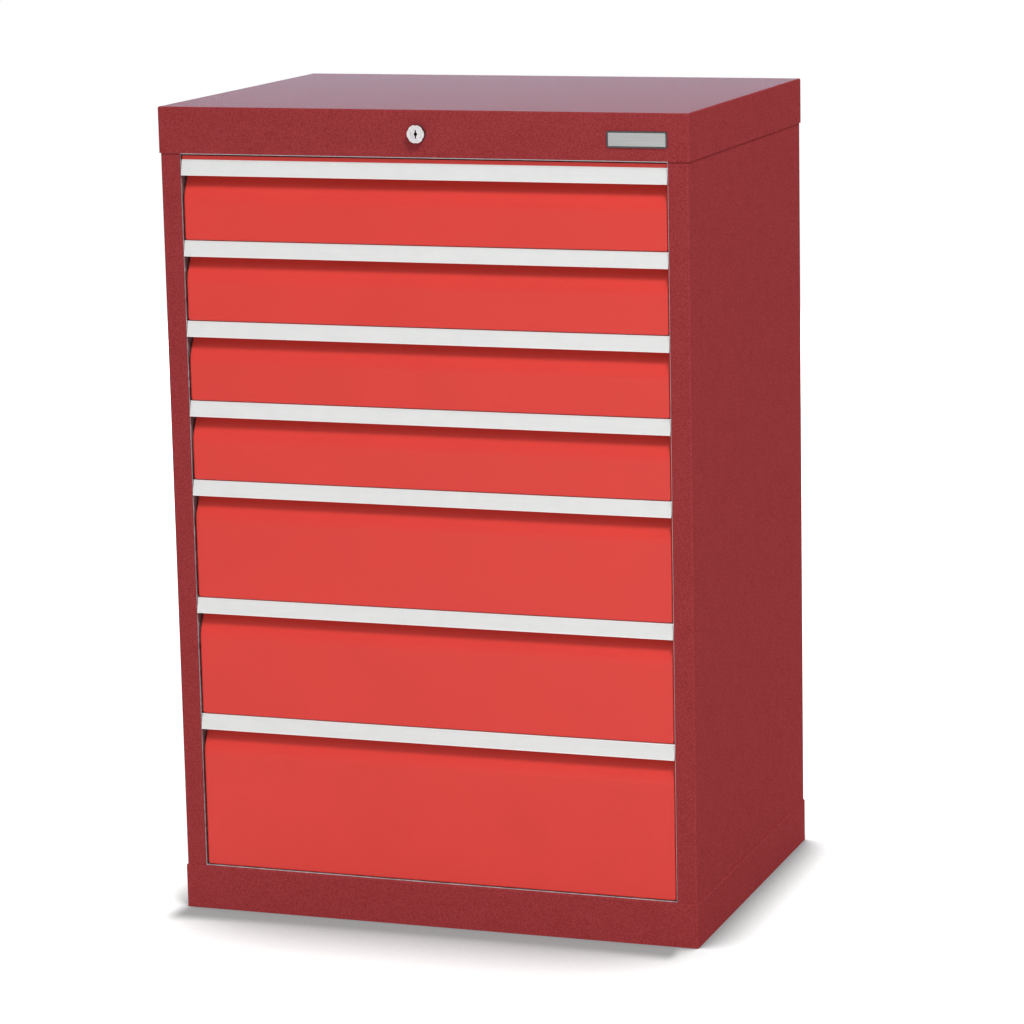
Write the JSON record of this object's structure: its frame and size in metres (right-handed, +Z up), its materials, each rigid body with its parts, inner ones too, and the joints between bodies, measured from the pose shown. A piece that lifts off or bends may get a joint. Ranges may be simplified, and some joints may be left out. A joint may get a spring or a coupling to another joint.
{
  "type": "drawer cabinet",
  "caption": "Floor-standing steel workshop cabinet with stacked full-width drawers on telescopic slides, long metal grips and one central lock.",
  "frame": {"origin": "on the floor, under the middle of the box around the whole cabinet", "axes": "+Z up, -Y towards the person who faces the drawers, +X to that person's right"},
  "size_m": [0.68, 0.507, 1.019],
  "materials": {
    "body_paint": "fine-textured ruby powder coat",
    "front_paint": "smooth bright red powder coat",
    "galvanised_steel": "hot-dip galvanised sheet",
    "grip_aluminium": "clear-anodised extrusion",
    "label_strip": "pale grey strip",
    "tray_paint": "grey powder coat",
    "slide_steel": "bright zinc-plated",
    "lock_metal": "satin nickel-plated",
    "linkage_steel": "zinc-plated strip",
    "badge_metal": "satin, bare"
  },
  "bodies": {
    "cabinet": {"left_side_panel": "body_paint", "right_side_panel": "body_paint", "top_cover": "body_paint", "base_plinth": "body_paint", "front_header": "galvanised_steel", "back_panel": "body_paint", "back_screws": "slide_steel", "badge_plate": "badge_metal", "corner_posts": "galvanised_steel", "cabinet_rails": "slide_steel", "lock_housing": "lock_metal", "lock_nut": "lock_metal", "lock_guides": "linkage_steel"},
    "lock": {"lock_cylinder": "lock_metal", "lock_cam": "linkage_steel"},
    "lock_link": {"lock_link": "linkage_steel"},
    "lock_bar": {"lock_bar": "linkage_steel", "lock_hooks": "linkage_steel"},
    "drawer_1": {"drawer_1_front": "front_paint", "drawer_1_handle": "grip_aluminium", "drawer_1_label_strip": "label_strip", "drawer_1_tray": "tray_paint", "drawer_1_runners": "slide_steel"},
    "slide_1": {"drawer_1_mid_rails": "slide_steel"},
    "drawer_2": {"drawer_2_front": "front_paint", "drawer_2_handle": "grip_aluminium", "drawer_2_label_strip": "label_strip", "drawer_2_tray": "tray_paint", "drawer_2_runners": "slide_steel"},
    "slide_2": {"drawer_2_mid_rails": "slide_steel"},
    "drawer_3": {"drawer_3_front": "front_paint", "drawer_3_handle": "grip_aluminium", "drawer_3_label_strip": "label_strip", "drawer_3_tray": "tray_paint", "drawer_3_runners": "slide_steel"},
    "slide_3": {"drawer_3_mid_rails": "slide_steel"},
    "drawer_4": {"drawer_4_front": "front_paint", "drawer_4_handle": "grip_aluminium", "drawer_4_label_strip": "label_strip", "drawer_4_tray": "tray_paint", "drawer_4_runners": "slide_steel"},
    "slide_4": {"drawer_4_mid_rails": "slide_steel"},
    "drawer_5": {"drawer_5_front": "front_paint", "drawer_5_handle": "grip_aluminium", "drawer_5_label_strip": "label_strip", "drawer_5_tray": "tray_paint", "drawer_5_runners": "slide_steel"},
    "slide_5": {"drawer_5_mid_rails": "slide_steel"},
    "drawer_6": {"drawer_6_front": "front_paint", "drawer_6_handle": "grip_aluminium", "drawer_6_label_strip": "label_strip", "drawer_6_tray": "tray_paint", "drawer_6_runners": "slide_steel"},
    "slide_6": {"drawer_6_mid_rails": "slide_steel"},
    "drawer_7": {"drawer_7_front": "front_paint", "drawer_7_handle": "grip_aluminium", "drawer_7_label_strip": "label_strip", "drawer_7_tray": "tray_paint", "drawer_7_runners": "slide_steel"},
    "slide_7": {"drawer_7_mid_rails": "slide_steel"}
  },
  "joints": [
    {"name": "lock_turn", "type": "hinge", "parent": "cabinet", "child": "lock", "pos_m": [0, -0.2465, 0.9905], "axis": [0, 1, 0], "range_deg": [0, 90]},
    {"name": "lock_link_slide", "type": "slide", "parent": "cabinet", "child": "lock_link", "axis": [1, 0, 0], "range_m": [0, 0.02121]},
    {"name": "lock_bar_lift", "type": "slide", "parent": "cabinet", "child": "lock_bar", "axis": [0, 0, 1], "range_m": [0, 0.01061]},
    {"name": "drawer_1_slide", "type": "slide", "parent": "cabinet", "child": "drawer_1", "axis": [0, -1, 0], "range_m": [0, 0.4]},
    {"name": "slide_1_travel", "type": "slide", "parent": "cabinet", "child": "slide_1", "axis": [0, -1, 0], "range_m": [0, 0.2]},
    {"name": "drawer_2_slide", "type": "slide", "parent": "cabinet", "child": "drawer_2", "axis": [0, -1, 0], "range_m": [0, 0.4]},
    {"name": "slide_2_travel", "type": "slide", "parent": "cabinet", "child": "slide_2", "axis": [0, -1, 0], "range_m": [0, 0.2]},
    {"name": "drawer_3_slide", "type": "slide", "parent": "cabinet", "child": "drawer_3", "axis": [0, -1, 0], "range_m": [0, 0.4]},
    {"name": "slide_3_travel", "type": "slide", "parent": "cabinet", "child": "slide_3", "axis": [0, -1, 0], "range_m": [0, 0.2]},
    {"name": "drawer_4_slide", "type": "slide", "parent": "cabinet", "child": "drawer_4", "axis": [0, -1, 0], "range_m": [0, 0.4]},
    {"name": "slide_4_travel", "type": "slide", "parent": "cabinet", "child": "slide_4", "axis": [0, -1, 0], "range_m": [0, 0.2]},
    {"name": "drawer_5_slide", "type": "slide", "parent": "cabinet", "child": "drawer_5", "axis": [0, -1, 0], "range_m": [0, 0.4]},
    {"name": "slide_5_travel", "type": "slide", "parent": "cabinet", "child": "slide_5", "axis": [0, -1, 0], "range_m": [0, 0.2]},
    {"name": "drawer_6_slide", "type": "slide", "parent": "cabinet", "child": "drawer_6", "axis": [0, -1, 0], "range_m": [0, 0.4]},
    {"name": "slide_6_travel", "type": "slide", "parent": "cabinet", "child": "slide_6", "axis": [0, -1, 0], "range_m": [0, 0.2]},
    {"name": "drawer_7_slide", "type": "slide", "parent": "cabinet", "child": "drawer_7", "axis": [0, -1, 0], "range_m": [0, 0.4]},
    {"name": "slide_7_travel", "type": "slide", "parent": "cabinet", "child": "slide_7", "axis": [0, -1, 0], "range_m": [0, 0.2]}
  ],
  "couplings": [
    {"joint": "lock_link_slide", "follows": "lock_bar_lift", "ratio": 2},
    {"joint": "lock_turn", "follows": "lock_bar_lift", "rad_per_m": 148.1},
    {"joint": "slide_1_travel", "follows": "drawer_1_slide", "ratio": 0.5},
    {"joint": "slide_2_travel", "follows": "drawer_2_slide", "ratio": 0.5},
    {"joint": "slide_3_travel", "follows": "drawer_3_slide", "ratio": 0.5},
    {"joint": "slide_4_travel", "follows": "drawer_4_slide", "ratio": 0.5},
    {"joint": "slide_5_travel", "follows": "drawer_5_slide", "ratio": 0.5},
    {"joint": "slide_6_travel", "follows": "drawer_6_slide", "ratio": 0.5},
    {"joint": "slide_7_travel", "follows": "drawer_7_slide", "ratio": 0.5}
  ]
}
